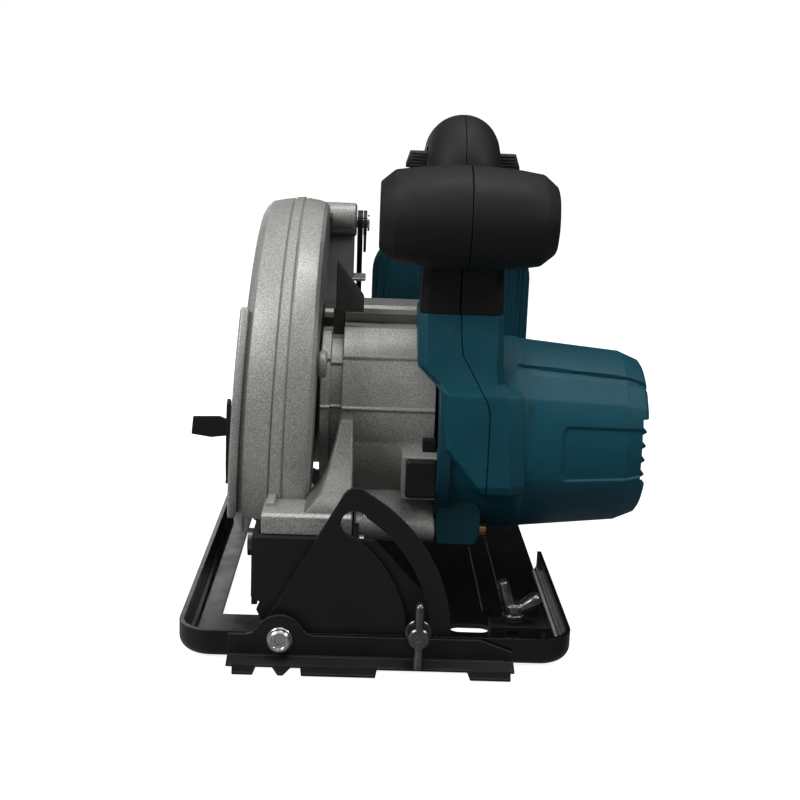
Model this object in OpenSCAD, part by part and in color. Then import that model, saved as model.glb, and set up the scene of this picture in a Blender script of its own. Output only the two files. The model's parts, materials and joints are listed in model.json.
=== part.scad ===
// Cordless circular saw: tilting, swinging head on a folded steel base.
// Origin: centre of the base's sole. +Z up, the front of the saw faces -Y,
// the blade is on the -X side. Lengths in millimetres.
// "Back" below means a distance behind the front edge of the base.

/* [Base] */
// Width of the base plate
base_w = 184; // [176:1:200]
// Length of the base plate
base_l = 264; // [258:1:280]
// Thickness of the base sheet
base_t = 2.2; // [1.8:0.1:2.6]
// Height of the folded rim
rim_h = 13.9; // [11:0.1:14]
// Outer radius of the fold between sole and rim
fold_r = 6.5; // [6:0.5:8]
// Left edge of the blade opening
opening_left = -76.1; // [-77:0.1:-74]
// Right edge of the blade opening
opening_right = -24; // [-26:0.5:-20]
// Start of the blade opening, behind the front
opening_back = 50; // [46:1:52]

// End of the blade opening, behind the front
opening_end = 236; // [230:1:238]
// Middle of the oval hole, sideways
hole_x = 46.5; // [45:0.5:50]
// Middle of the oval hole, behind the front
hole_back = 40.5; // [38:0.5:44]

/* [Bevel] */
// Sideways place of the bevel axis
bevel_x = -43.9; // [-46:0.1:-42]
// Height of the bevel axis
bevel_z = 11.6; // [11:0.1:12.5]
// Outer radius of the front quadrant
quadrant_r = 78.6; // [76:0.1:80]
// Radius of the quadrant's slot, at its middle
slot_r = 63.5; // [62:0.1:65]
// Width of the quadrant's slot
slot_w = 11; // [8:0.5:11.5]

/* [Head] */
// Depth pivot, behind the front
pivot_back = 30; // [29:0.5:31]
// Height of the depth pivot
pivot_z = 47; // [46:0.5:48]
// Blade spindle, behind the front
arbor_back = 135; // [133:0.5:137]
// Height of the blade spindle
arbor_z = 98.5; // [98:0.5:100]
// Blade diameter
blade_d = 185; // [165:1:185]
// Outer radius of the blade case
case_r = 105; // [104:0.5:107]
// Left face of the blade case
case_left = -71.5; // [-72:0.5:-71]
// Right face of the blade case
case_right = -29; // [-30:0.5:-28]
// Outer radius of the motor housing at its root
motor_r = 51; // [50:0.5:51]
// Right end of the motor housing
motor_end = 133; // [132:1:134]

/* [Grips] */
// Middle plane of the handle and the front grip
mid_x = 37; // [36:0.5:38]
// Radius of the front grip
grip_r = 24.5; // [22:0.5:25]
// Length of the front grip
grip_l = 84; // [76:1:88]
// Height of the front grip's axis
grip_z = 201.5; // [200:0.5:203]
// Width of the main handle
handle_w = 41; // [36:1:42]

/* [Gears] */
// Tooth module
tooth_m = 1.25; // [1.25]
// Teeth on the spindle gear
gear_teeth = 49; // [49]
// Teeth on the motor pinion
pinion_teeth = 12; // [12]

/* [Hidden] */

$fn = 64;
eps = 0.02;
gap = 0.3;
run_gap = 0.05;

half_w = base_w / 2;
corner_r = 16;
rim_stop = 126;
hole_r = 5.2;
hole_reach = 4.85;
bolt_hole_r = 3.1;

gear_pitch_r = tooth_m * gear_teeth / 2;
pinion_pitch_r = tooth_m * pinion_teeth / 2;
centre_gap = gear_pitch_r + pinion_pitch_r;
motor_drop_deg = 15;
motor_back = arbor_back - centre_gap * cos(motor_drop_deg);
motor_z = arbor_z - centre_gap * sin(motor_drop_deg);

washer_r = 7.4;
bolt_deg = 5.4;
bolt_x = bevel_x + slot_r * cos(bolt_deg);
bolt_z = bevel_z + slot_r * sin(bolt_deg);

blade_r = blade_d / 2;
blade_left = -51;
blade_right = -49.2;
guard_r = 97;
cap_start = 123;
hub_r = 21;

grip_back = 52;
grip_left = mid_x - grip_l / 2;
grip_right = mid_x + grip_l / 2;
handle_left_x = mid_x - handle_w / 2;
handle_right_x = mid_x + handle_w / 2;

// ---- placing helpers: "back" is the distance behind the base's front edge ----

function fy(back) = back - base_l / 2;
function arc(c, r, a0, a1, n = 12) =
    [for (i = [0 : n]) let (a = a0 + (a1 - a0) * i / n) [c[0] + r * cos(a), c[1] + r * sin(a)]];

module xslab(x0, x1) {
    translate([x0, -base_l / 2, 0]) rotate([90, 0, 90]) linear_extrude(x1 - x0) children();
}

module yslab(b0, b1) {
    translate([0, fy(b1), 0]) rotate([90, 0, 0]) linear_extrude(b1 - b0) children();
}

module block(x, b, z) {
    translate([x[0], fy(b[0]), z[0]]) cube([x[1] - x[0], b[1] - b[0], z[1] - z[0]]);
}

module xrod(x0, x1, r, back, z) {
    translate([x0, fy(back), z]) rotate([0, 90, 0]) cylinder(h = x1 - x0, r = r);
}

module yrod(b0, b1, r, x, z) {
    translate([x, fy(b0), z]) rotate([-90, 0, 0]) cylinder(h = b1 - b0, r = r);
}

module zrod(z0, z1, r, x, back) {
    translate([x, fy(back), z0]) cylinder(h = z1 - z0, r = r);
}

module xring(x0, x1, r_out, r_in, back, z) {
    difference() {
        xrod(x0, x1, r_out, back, z);
        xrod(x0 - 1, x1 + 1, r_in, back, z);
    }
}

module xturn(back, z) {
    translate([0, fy(back), z]) rotate([0, 90, 0]) rotate_extrude($fn = 96) children();
}

module spot(u, v, r) {
    translate([u, v]) circle(r);
}

module rrect(u, v, r) {
    translate([u[0] + r, v[0]]) square([u[1] - u[0] - 2 * r, v[1] - v[0]]);
    translate([u[0], v[0] + r]) square([u[1] - u[0], v[1] - v[0] - 2 * r]);
    for (a = [u[0] + r, u[1] - r], b = [v[0] + r, v[1] - r]) spot(a, b, r);
}

// ---- base ----

module rim_section(h) {
    difference() {
        square([fold_r, fold_r]);
        translate([0, fold_r]) circle(fold_r - base_t);
        difference() {
            square([fold_r + 1, fold_r]);
            translate([0, fold_r]) circle(fold_r);
        }
    }
    translate([fold_r - base_t, fold_r - eps]) square([base_t, h - fold_r + eps]);
}

module rim_run(x, y, turn, length, h) {
    translate([x, y, 0]) rotate([0, 0, turn]) rotate([90, 0, 0]) linear_extrude(length) rim_section(h);
}

module rim_corner(x, y, turn) {
    translate([x, y, 0]) rotate([0, 0, turn])
        rotate_extrude(angle = 90, $fn = 96) translate([corner_r - fold_r, 0]) rim_section(rim_h);
}

module base_plate() {
    flat = half_w - fold_r;
    back_half = base_l / 2;
    corner_in = corner_r - fold_r;
    color("#101012") {
        difference() {
            union() {
                linear_extrude(base_t)
                    rrect([-flat, flat], [-back_half + fold_r, back_half - fold_r], corner_in);
                block([flat - 8, half_w - 3], [rim_stop, base_l - corner_r - 6], [0, base_t]);
            }
            block([opening_left, opening_right], [opening_back, opening_end], [-1, base_t + 1]);
            for (s = [-1, 1]) zrod(-1, base_t + 1, hole_r, hole_x + s * hole_reach, hole_back);
            block([hole_x - hole_reach, hole_x + hole_reach], [hole_back - hole_r, hole_back + hole_r],
                [-1, base_t + 1]);
        }
        difference() {
            rim_run(half_w - corner_r, -back_half + fold_r, -90, 2 * (half_w - corner_r), rim_h);
            yrod(-1, 4, bolt_hole_r, bevel_x, bevel_z);
        }
        rim_run(-flat, -back_half + corner_r, 180, base_l - 2 * corner_r, rim_h);
        rim_run(-half_w + corner_r, back_half - fold_r, 90, 2 * (half_w - corner_r), rim_h);
        rim_run(flat, fy(rim_stop), 0, rim_stop - corner_r, rim_h);
        rim_corner(-half_w + corner_r, -back_half + corner_r, 180);
        rim_corner(half_w - corner_r, -back_half + corner_r, 270);
        rim_corner(-half_w + corner_r, back_half - corner_r, 90);
        rim_corner(half_w - corner_r, back_half - corner_r, 0);
        for (x = [57, 68]) block([x - 2.2, x + 2.2], [64, 232], [base_t - eps, base_t + 1.2]);
    }
}

module front_guide() {
    color("#141416") {
        difference() {
            union() {
                xslab(-68, 64) polygon([[-0.3, 13.6], [-2.3, 13.6], [-2.3, 8.6], [-9.2, 2.4],
                    [-9.2, 0.2], [-7.2, 0.2], [-6.6, 2.2], [-0.3, 7.8]]);
                yslab(-2.3, -0.3) spot(bevel_x, bevel_z, 9);
                block([-65.7, -55], [-18, -7.5], [0.2, 2.2]);
                block([-47, -39], [-18, -7.5], [0.2, 2.2]);
                block([-34.6, 1.3], [-18, -7.5], [0.2, 2.2]);
                block([42.5, 62.5], [-18, -7.5], [0.2, 2.2]);
            }
            yrod(-4, 1, bolt_hole_r, bevel_x, bevel_z);
            yrod(-12, -2.3, washer_r + gap, bevel_x, bevel_z);
            yslab(-20, 1) polygon([[47.5, 14.5], [65, 14.5], [65, 8]]);
        }
    }
}

module quadrant_outline() {
    top_deg = 63;
    polygon(concat(arc([bevel_x, bevel_z], quadrant_r, -4, top_deg - 3, 20),
        arc([bevel_x + (quadrant_r - 6) * cos(top_deg), bevel_z + (quadrant_r - 6) * sin(top_deg)],
            6.5, top_deg - 1, top_deg + 80, 6),
        arc([bevel_x, bevel_z], 9.5, 146, 262, 8)));
}

module slot_outline() {
    difference() {
        spot(bevel_x, bevel_z, slot_r + slot_w / 2);
        spot(bevel_x, bevel_z, slot_r - slot_w / 2);
        polygon(concat([[bevel_x, bevel_z]], arc([bevel_x, bevel_z], 2 * quadrant_r, 58, 359, 14)));
    }
    spot(bevel_x + slot_r, bevel_z, slot_w / 2);
    spot(bevel_x + slot_r * cos(59), bevel_z + slot_r * sin(59), 6.3);
}

module bevel_quadrant() {
    color("#161618") {
        difference() {
            yslab(2.3, 4.9) difference() {
                quadrant_outline();
                slot_outline();
                translate([-80, -10]) square([160, 18.4]);
            }
            yrod(0, 6, bolt_hole_r, bevel_x, bevel_z);
        }
        block([-12, 34], [2.3, 12], [8.4, 10.2]);
        block([-12, 34], [10, 12], [base_t, 10.2]);
        block([-12, 34], [12 - eps, 22], [base_t, base_t + 2]);
    }
}

module rear_quadrant() {
    color("#161618") difference() {
        union() {
            yslab(246.5, 249) {
                spot(bevel_x, bevel_z + 2, 11);
                translate([bevel_x - 11, base_t]) square([40, 11.4]);
            }
            block([bevel_x - 11, bevel_x + 29], [248.8, 254.8], [base_t, base_t + 2]);
        }
        yrod(240, 252, bolt_hole_r, bevel_x, bevel_z);
    }
}

module fence_clamp() {
    color("#141416") difference() {
        union() {
            block([54, 82], [12, 24], [12.6, 14.8]);
            block([54, 56.2], [12, 24], [base_t, 14.8]);
            block([79.8, 82], [12, 24], [base_t, 14.8]);
            zrod(14.7, 17.4, 5.6, 65, 18);
        }
        zrod(10, 20, 2.6, 65, 18);
    }
}

module wing_profile() {
    difference() {
        union() {
            spot(10.5, 0, 5.6);
            spot(-10.5, 0, 5.6);
            translate([-11, -3.4]) square([22, 6.8]);
            spot(0, 0, 4.9);
        }
        for (s = [-1, 1]) spot(s * 16.4, 0, 2.6);
    }
}

module fence_wing_bolt() {
    color("#57575a") {
        zrod(9, 18.3, 2.55, 65, 18);
        zrod(17.7, 19.6, 5.2, 65, 18);
        zrod(19.5, 26.5, 4.3, 65, 18);
        translate([65, fy(18), 29]) rotate([0, 0, 18]) rotate([90, 0, 0])
            translate([0, 0, -1.3]) linear_extrude(2.6) difference() {
                wing_profile();
                translate([-20, -12]) square([40, 9]);
            }
    }
}

module bevel_pivot_screw() {
    color("#c9c9cc") {
        yrod(-3.9, -2.3, washer_r, bevel_x, bevel_z);
        difference() {
            yrod(-6.6, -3.8, 6, bevel_x, bevel_z);
            yrod(-7, -5, 2.3, bevel_x, bevel_z);
        }
        yrod(-3, 12.6, 3.05, bevel_x, bevel_z);
        yrod(8.8, 12.4, 5.4, bevel_x, bevel_z, $fn = 6);
    }
}

module rear_pivot_pin() {
    color("#8b8b8e") {
        yrod(249, 251.5, 6, bevel_x, bevel_z);
        yrod(241.2, 250, 3.05, bevel_x, bevel_z);
        yrod(241.1, 243.3, 5.5, bevel_x, bevel_z);
    }
}

module base_rivets() {
    color("#2a2a2c") {
        for (x = [-6, 22]) zrod(base_t + 2, base_t + 3.6, 3, x, 17);
        for (x = [-50, -20]) zrod(base_t + 2, base_t + 3.4, 1.8, x, 252.4);
    }
}

// ---- tilting frame ----

module front_bracket() {
    color("#18181a") difference() {
        union() {
            yslab(5.3, 8.3) {
                polygon([[-58, 57.5], [-58, 29], [-53.8, 26.4], [-55.4, 22.6], [-53, 17.6],
                    [-40, 15], [bolt_x, 11.2], [bolt_x + 6, 12.5], [bolt_x + 7, 17.6], [22, 32],
                    [-2, 57.5]]);
                spot(bevel_x, bevel_z, 8);
                spot(bolt_x, bolt_z, 6.4);
            }
            block([-58, -9], [8.2, 11.6], [55.2, 57.5]);
            for (x = [-58, -12]) xslab(x, x + 2.7) {
                rrect([8.2, 36], [37, 57.5], 6);
                translate([8.2, 24]) square([9, 33.5]);
            }
        }
        yrod(0, 14, bolt_hole_r, bevel_x, bevel_z);
        yrod(0, 14, 2.9, bolt_x, bolt_z);
        xrod(-70, 0, 4.05, pivot_back, pivot_z);
    }
}

module rear_bracket() {
    color("#18181a") difference() {
        union() {
            yslab(243.4, 246) {
                spot(bevel_x, bevel_z, 9);
                translate([bevel_x, 10]) square([39, 14]);
            }
            block([-22, -5], [230, 243.6], [21.8, 24]);
        }
        yrod(236, 250, bolt_hole_r, bevel_x, bevel_z);
    }
}

guide_r = 208;
lock_deg = 42.3;
guide_half = 7;
lock_back = pivot_back + guide_r * cos(lock_deg);
lock_z = pivot_z + guide_r * sin(lock_deg);

module depth_guide() {
    color("#1c1c1e") xslab(-16, -13) difference() {
        union() {
            polygon(concat(arc([pivot_back, pivot_z], guide_r + guide_half, -6, lock_deg, 18),
                arc([pivot_back, pivot_z], guide_r - guide_half, lock_deg, -6.4, 18)));
            spot(lock_back, lock_z, guide_half);
        }
        polygon(concat(arc([pivot_back, pivot_z], guide_r + 3.3, 16, lock_deg, 12),
            arc([pivot_back, pivot_z], guide_r - 3.3, lock_deg, 16, 12)));
        spot(lock_back, lock_z, 3.3);
        translate([0, -1]) square([300, 25]);
    }
}

module depth_pivot_pin() {
    color("#77777a") {
        xrod(-61.6, -58, 6.5, pivot_back, pivot_z);
        xrod(-58.2, -7.4, 4, pivot_back, pivot_z);
        xrod(-9.3, -6.9, 6, pivot_back, pivot_z);
    }
}

module bevel_wing_bolt() {
    color("#4c4c4f") {
        yrod(-10, 11.8, 2.85, bolt_x, bolt_z);
        yrod(-4.8, 1.9, 3.4, bolt_x, bolt_z);
        yrod(-4.8, -2.6, 6.4, bolt_x, bolt_z);
        yrod(-11.6, -4.7, 4.7, bolt_x, bolt_z);
        translate([bolt_x, fy(-12.2), bolt_z]) rotate([0, 90, 0]) rotate([90, 0, 0])
            translate([0, 0, -1.4]) linear_extrude(2.8) wing_profile();
    }
}

// ---- head: castings ----

chamber_left = -62.8;
chamber_right = -36.5;

module case_outline(r) {
    intersection() {
        spot(arbor_back, arbor_z, r);
        polygon([[0, 52], [38, 52], [96, 84], [176, 84], [246, 133], [246, 220], [0, 220]]);
    }
}

module blade_case() {
    color("#a7a6a2") difference() {
        union() {
            difference() {
                xslab(case_left, case_right) case_outline(case_r);
                xslab(chamber_left, chamber_right) spot(arbor_back, arbor_z, case_r - 4);
                translate([case_left, 0, 60]) rotate([0, 2.4, 0])
                    translate([-30, -200, -80]) cube([30, 400, 300]);
                translate([case_right - 4, fy(0), 60]) rotate([0, 1.8, 0])
                    translate([0, 0, -80]) cube([30, 52, 300]);
            }
            xslab(chamber_right, -13) polygon([[12.5, 58], [9.5, 60], [9.5, 70], [22, 74],
                [46, 104], [60, 104], [52, 78], [37.5, 58]]);
            block([-54.4, -12.7], [9.5, 34], [58, 69]);
            xslab(-54.4, -12.7) {
                polygon([[20.5, 47], [20.5, 60], [37, 60], [39.5, 47]]);
                spot(pivot_back, pivot_z, 9.6);
            }
            xrod(case_right - 4, -16.4, 8, lock_back, lock_z);
        }
        xrod(-80, 0, 4.05, pivot_back, pivot_z);
        xrod(-80, chamber_left + 2, 30, arbor_back, arbor_z);
        xrod(chamber_right - 1, case_right + 1, hub_r + 4.2, arbor_back, arbor_z);
        xrod(-31, -10, 2.95, lock_back, lock_z);
        xslab(case_right - eps, 0) gear_outline(eps);
    }
}

module gear_outline(grow) {
    spot(arbor_back, arbor_z, 38.5 + grow);
    spot(motor_back, motor_z, 48 + grow);
    intersection() {
        spot(113, 100, 50 + grow);
        translate([0, 97]) square([250, 90]);
    }
    spot(screw_back, screw_z, 7 + grow);
    screw_web(screw_back, screw_z);
}

screw_back = 63;
screw_z = 46;
cover_bolt_r = 18.6;
stem_z = motor_z - 13.5;

module screw_web(back, z) {
    polygon([[back - 5, z + 4.5], [back + 5, z - 4.5], [motor_back, z + 14], [back + 12, z + 30]]);
}

module gear_housing() {
    color("#a3a29e") difference() {
        union() {
            xslab(case_right, 28) gear_outline(0);
            xrod(-42, case_right + 1, hub_r, arbor_back, arbor_z);
        }
        xslab(-25.5, -9) {
            spot(arbor_back, arbor_z, 34.6);
            spot(motor_back, motor_z, 14);
        }
        xslab(2, 29) spot(motor_back, motor_z, 40.5);
        xrod(-10, 3, 11.05, motor_back, motor_z);
        xrod(-43, -25, 16.05, arbor_back, arbor_z);
        xrod(-10, -2, 9.05, arbor_back, arbor_z);
        xrod(-11, 29, 2.05, screw_back, screw_z);
        for (a = [45 : 90 : 315])
            xrod(-43, -39.9, 1.25, arbor_back + cover_bolt_r * cos(a), arbor_z + cover_bolt_r * sin(a));
        yrod(50, 66, 2.65, 20.5, stem_z);
        block([11.5, 29], [50, 57.2], [63.5, 83.5]);
        block([4.2, 29], [142, 190], [40, 160]);
    }
}

module gear_cover() {
    color("#8f8f90") difference() {
        xrod(-44, -42, hub_r, arbor_back, arbor_z);
        xrod(-45, -41, 9.5, arbor_back, arbor_z);
        for (a = [45 : 90 : 315])
            xrod(-45, -41, 1.25, arbor_back + cover_bolt_r * cos(a), arbor_z + cover_bolt_r * sin(a));
    }
}

module guard_bumper() {
    centre = [arbor_back, arbor_z];
    color("#202020") xslab(-56, -44)
        polygon(concat(arc(centre, case_r - 4.02, 12, 22, 6), arc(centre, guard_r + 1, 22, 12, 6)));
}

module spindle_bearings() {
    color("#c4c4c8") {
        xring(-41.8, -32.8, 16, 7.6, arbor_back, arbor_z);
        xring(-8.8, -2.6, 9, 5.1, arbor_back, arbor_z);
    }
}

module motor_bearings() {
    color("#c4c4c8") {
        xring(-9.9, -5, 11, 5.1, motor_back, motor_z);
        xring(cap_start - 9, cap_start - 2, 11, 5.1, motor_back, motor_z);
    }
}

module depth_lock_bolt() {
    color("#707073") {
        xrod(-30.9, -9.9, 2.9, lock_back, lock_z);
        xrod(-10.4, -9.2, 4.6, lock_back, lock_z);
    }
}

module gear_case_screws() {
    color("#b98d4c") {
        xrod(50, 54, 3.4, screw_back, screw_z);
        xrod(-10, 50.5, 2, screw_back, screw_z);
    }
    color("#77777a") for (a = [45 : 90 : 315])
        xrod(-45.2, -40, 1.2, arbor_back + cover_bolt_r * cos(a), arbor_z + cover_bolt_r * sin(a));
}

// ---- head: plastic housings ----

module front_outline() {
    polygon([[16, 156], [57, 156], [60, 148], [70.5, 120], [72.5, 70], [68, 65], [50, 65],
        [33.5, 87], [31.5, 115], [16.5, 128]]);
}

module front_housing(x0, x1) {
    difference() {
        intersection() {
            yslab(43, 100) front_outline();
            block([x0, x1], [40, 101], [50, 160]);
        }
        xrod(28 - gap, 160, motor_r + gap, motor_back, motor_z);
        xslab(-30, 28 + gap) gear_outline(gap);
    }
}

module front_housing_left() { color("#0c5a6b") front_housing(0, 41); }

module front_housing_right() { color("#0c5a6b") front_housing(41, 90); }

module motor_housing() {
    color("#0e6074") difference() {
        union() {
            difference() {
                xturn(motor_back, motor_z) polygon([[0, 28], [motor_r, 28], [motor_r, 62],
                    [49.3, 74], [44.2, cap_start], [0, cap_start]]);
                xturn(motor_back, motor_z) polygon([[0, 27], [47, 27], [46, 66], [40, 100],
                    [40, 131], [0, 131]]);
            }
            xslab(28, 50) difference() {
                spot(screw_back, screw_z, 7);
                spot(motor_back, motor_z, 42);
            }
            xrod(cap_start - 10, cap_start - 1, 14, motor_back, motor_z);
            for (a = [0, 90]) translate([cap_start - 10, fy(motor_back), motor_z]) rotate([a, 0, 0])
                translate([0, -40.8, -3]) cube([8, 81.6, 6]);
        }
        xrod(cap_start - 11, cap_start, 11.05, motor_back, motor_z);
        xrod(20, 51, 2.05, screw_back, screw_z);
    }
}

module motor_end_cap() {
    color("#0d586a") difference() {
        xturn(motor_back, motor_z) polygon([[0, cap_start], [44.1, cap_start], [42, motor_end - 3],
            [39, motor_end], [0, motor_end]]);
        xturn(motor_back, motor_z) polygon([[0, cap_start - 1], [40, cap_start - 1], [39, motor_end - 5],
            [36, motor_end - 3], [0, motor_end - 3]]);
        for (i = [-4 : 4]) block([motor_end - 6, motor_end + 1], [motor_back - 44, motor_back - 20],
            [motor_z + 5.6 * i - 1.3, motor_z + 5.6 * i + 1.3]);
        for (i = [-3 : 3]) block([motor_end - 6, motor_end + 1], [motor_back - 12, motor_back + 30],
            [motor_z + 7 * i - 1.5, motor_z + 7 * i + 1.5]);
    }
}

module stator() {
    color("#8a5a34") difference() {
        xring(64, 102, 39.8, 22.6, motor_back, motor_z);
        for (a = [0 : 60 : 300]) translate([57, fy(motor_back), motor_z]) rotate([a, 0, 0])
            translate([0, -6, 25]) cube([52, 12, 11]);
    }
}

module neck_half(x0, x1) {
    block([x0, x1], [64, 81.6], [156, 184]);
    block([x0 + 1, x1 - 1], [60, 66], [158, 190]);
}

module barrel_section(length) {
    polygon([[0, 0], [grip_r, 0], [grip_r - 1.6, length - 9], [grip_r - 5.5, length], [0, length]]);
}

module front_grip_left() {
    color("#1b1b1d") {
        translate([mid_x, 0, 0]) mirror([1, 0, 0]) xturn(grip_back, grip_z) barrel_section(grip_l / 2);
        neck_half(handle_left_x, mid_x);
    }
}

module front_grip_right() {
    color("#1b1b1d") {
        translate([mid_x, 0, 0]) xturn(grip_back, grip_z) barrel_section(grip_l / 2);
        neck_half(mid_x, handle_right_x);
    }
}

screw_spots = [[90, 168], [219, 187]];

function top_arc(inset) = concat(arc([112, 215], 34 - inset, 180, 92, 8),
    arc([112, 99], 150 - inset, 89, 39, 12));

module handle_core() {
    polygon(concat([[82, 156]], top_arc(4), [[226, 183], [176, 183], [160, 190.4]],
        arc([120, 185], 20, 78, 180, 8), [[100, 156]]));
}

module handle_half(x0, x1) {
    difference() {
        xslab(x0, x1) handle_core();
        block([mid_x - 9, mid_x + 9], [104, 142], [196, 232]);
        block([0, 90], [103, 118], [218.6, 232.4]);
        for (p = screw_spots) xrod(handle_right_x - 12, handle_right_x + 1, 2.65, p[0], p[1]);
    }
}

module handle_left() { color("#0c5a6b") handle_half(handle_left_x, mid_x); }

module handle_right() { color("#0c5a6b") handle_half(mid_x, handle_right_x); }

module handle_overmould() {
    color("#1a1a1c") xslab(handle_left_x, handle_right_x) difference() {
        polygon(concat([[78, 185]], top_arc(0), [[226, 192.6]],
            [for (i = [20 : -1 : 0]) top_arc(4)[i]], [[82, 185]]));
        translate([0, 150]) square([300, 42.6]);
    }
}

module rear_half(x0, x1) {
    difference() {
        xslab(x0, x1) polygon([[160, 120], [160, 176], [166, 183], [238, 183], [238, 181], [182, 181],
            [178, 177], [178, 120]]);
        xslab(-30, 4.2) spot(arbor_back, arbor_z, 38.5 + gap);
        xslab(-30, 28.3) spot(113, 100, 50 + gap);
        yslab(150, 250) difference() {
            translate([-20, 100]) square([120, 100]);
            rrect([mid_x - 44, mid_x + 44], [60, 183.1], 22);
        }
    }
}

module rear_housing_left() { color("#0b5262") rear_half(mid_x - 44, mid_x); }

module rear_housing_right() { color("#0b5262") rear_half(mid_x, mid_x + 44); }

// ---- head: electrics and fasteners ----

module switch_body() {
    color("#2b2b2e") block([mid_x - 8.8, mid_x + 8.8], [106, 141], [216.4, 218.4]);
    color("#2b2b2e") block([mid_x - 8.8, mid_x + 8.8], [123, 141], [207, 216.6]);
}

module controller_board() {
    color("#27573a") block([mid_x - 30, mid_x + 30], [178.2, 179.8], [124, 158]);
}

module battery_terminal() {
    color("#b89a55") {
        block([mid_x - 22, mid_x + 22], [184, 190], [177.6, 181]);
        for (x = [-15, 0, 15]) block([mid_x + x - 0.5, mid_x + x + 0.5], [186, 204], [173.6, 177.8]);
    }
}

module housing_screws() {
    color("#3a3a3d") {
        for (p = screw_spots)
            xrod(handle_right_x - 11.9, handle_right_x + 0.6, 2.6, p[0], p[1]);
    }
}

module guard_spring() {
    color("#9a9a9d") {
        for (i = [0 : 2]) translate([-34.6 + 1.9 * i, fy(arbor_back), arbor_z]) rotate([0, 90, 0])
            rotate_extrude() translate([hub_r + 1.8, 0]) circle(0.7, $fn = 16);
    }
}

// ---- spindle ----

module spindle() {
    color("#a9a9ad") {
        xrod(-46, -41.9, 9.4, arbor_back, arbor_z);
        xrod(-42, -25, 7.5, arbor_back, arbor_z);
        xrod(-25.2, -2.7, 5, arbor_back, arbor_z);
        xrod(-52, -45.9, 5.9, arbor_back, arbor_z);
    }
}

function involute(rb, t) = [rb * (cos(t) + t * PI / 180 * sin(t)), rb * (sin(t) - t * PI / 180 * cos(t))];
function polar(r, a) = [r * cos(a), r * sin(a)];
function inv_deg(pa) = tan(pa) * 180 / PI - pa;

press_deg = 25;

module gear_shape(teeth, slack) {
    rp = tooth_m * teeth / 2;
    rb = rp * cos(press_deg);
    ra = rp + 0.85 * tooth_m;
    rr = rp - 1.15 * tooth_m;
    half_deg = 90 / teeth - slack / (2 * rp) * 180 / PI;
    base_deg = half_deg + inv_deg(press_deg);
    steps = 5;
    flank = [for (i = [0 : steps]) let (r = max(rb, rr) + (ra - max(rb, rr)) * i / steps, pa = acos(rb / r))
        [r, base_deg - inv_deg(pa)]];
    tooth = concat([polar(rr - 0.3, -base_deg)], [for (f = flank) polar(f[0], -f[1])],
        [for (i = [steps : -1 : 0]) polar(flank[i][0], flank[i][1])], [polar(rr - 0.3, base_deg)]);
    circle(rr);
    for (k = [0 : teeth - 1]) rotate(360 * k / teeth) polygon(tooth);
}

mesh_deg = 180 + motor_drop_deg;

module drive_gear() {
    color("#8d8d92") difference() {
        xslab(-22, -12) translate([arbor_back, arbor_z]) rotate(mesh_deg) gear_shape(gear_teeth, 0.2);
        xrod(-23, -11, 5.02, arbor_back, arbor_z);
    }
}

module pinion() {
    color("#8d8d92") difference() {
        xslab(-24, -10.5) translate([motor_back, motor_z]) rotate(mesh_deg + 180 + 180 / pinion_teeth)
            gear_shape(pinion_teeth, 0.2);
        xrod(-25, -9, 4.52, motor_back, motor_z);
    }
}

module inner_flange() {
    color("#808085") xring(-49.2, -46, 17, 6, arbor_back, arbor_z);
}

tooth_count = 24;

module blade() {
    step = 360 / tooth_count;
    color("#b9babd") difference() {
        xslab(blade_left, blade_right) translate([arbor_back, arbor_z]) polygon([for (k = [0 : tooth_count - 1])
            for (p = [[blade_r, 0], [blade_r - 1.6, 0.55 * step], [blade_r - 8, 0.72 * step],
                [blade_r - 7.5, 0.95 * step]]) polar(p[0], k * step + p[1])]);
        xrod(-60, -40, 6, arbor_back, arbor_z);
        for (a = [0 : 90 : 270]) xrod(-60, -40, 4, arbor_back + 62 * cos(a), arbor_z + 62 * sin(a));
    }
}

module outer_flange() {
    color("#808085") xring(-54, -51, 17, 6, arbor_back, arbor_z);
}

module blade_bolt() {
    color("#5c5c60") {
        xrod(-60, -54, 8, arbor_back, arbor_z, $fn = 6);
        xring(-55.2, -54, 9.5, 2, arbor_back, arbor_z);
        xrod(-54.2, -52, 5.8, arbor_back, arbor_z);
    }
}

// ---- rotor ----

module rotor_shaft() {
    color("#a9a9ad") difference() {
        union() {
            xrod(-24, cap_start - 2, 4.5, motor_back, motor_z);
            xrod(-9.9, -5, 5, motor_back, motor_z);
            xrod(cap_start - 9, cap_start - 2, 5, motor_back, motor_z);
            xrod(18.5, 23, 20, motor_back, motor_z);
        }
        yrod(60, 92, 2.8, 20.5, stem_z);
    }
}

module rotor_core() {
    color("#6e6e74") xring(64, 102, 22, 4.5, motor_back, motor_z);
}

module fan() {
    color("#2c2c30") {
        xring(34, 36.5, 38, 4.5, motor_back, motor_z);
        xring(36.4, 46, 9, 4.5, motor_back, motor_z);
        for (a = [0 : 30 : 330]) translate([36.4, fy(motor_back), motor_z]) rotate([a, 0, 0])
            translate([0, -1, 8.5]) cube([9, 2, 28]);
    }
}

// ---- lower guard ----

module guard_sector(r) {
    intersection() {
        spot(arbor_back, arbor_z, r);
        polygon(concat([[arbor_back, arbor_z]],
            [for (a = [-28 : -12.5 : -178]) [arbor_back - 160 * cos(a), arbor_z + 160 * sin(a)]]));
    }
}

module lower_guard() {
    color("#b4b4b2") {
        difference() {
            union() {
                xslab(-60, -40) guard_sector(guard_r);
                xrod(-42, -37, hub_r + 3.6, arbor_back, arbor_z);
            }
            xslab(-58.4, -41.6) spot(arbor_back, arbor_z, guard_r - 1.8);
            xrod(-61, -50, 62, arbor_back, arbor_z);
            xrod(-50, -30, hub_r + run_gap, arbor_back, arbor_z);
        }
    }
}

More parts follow.
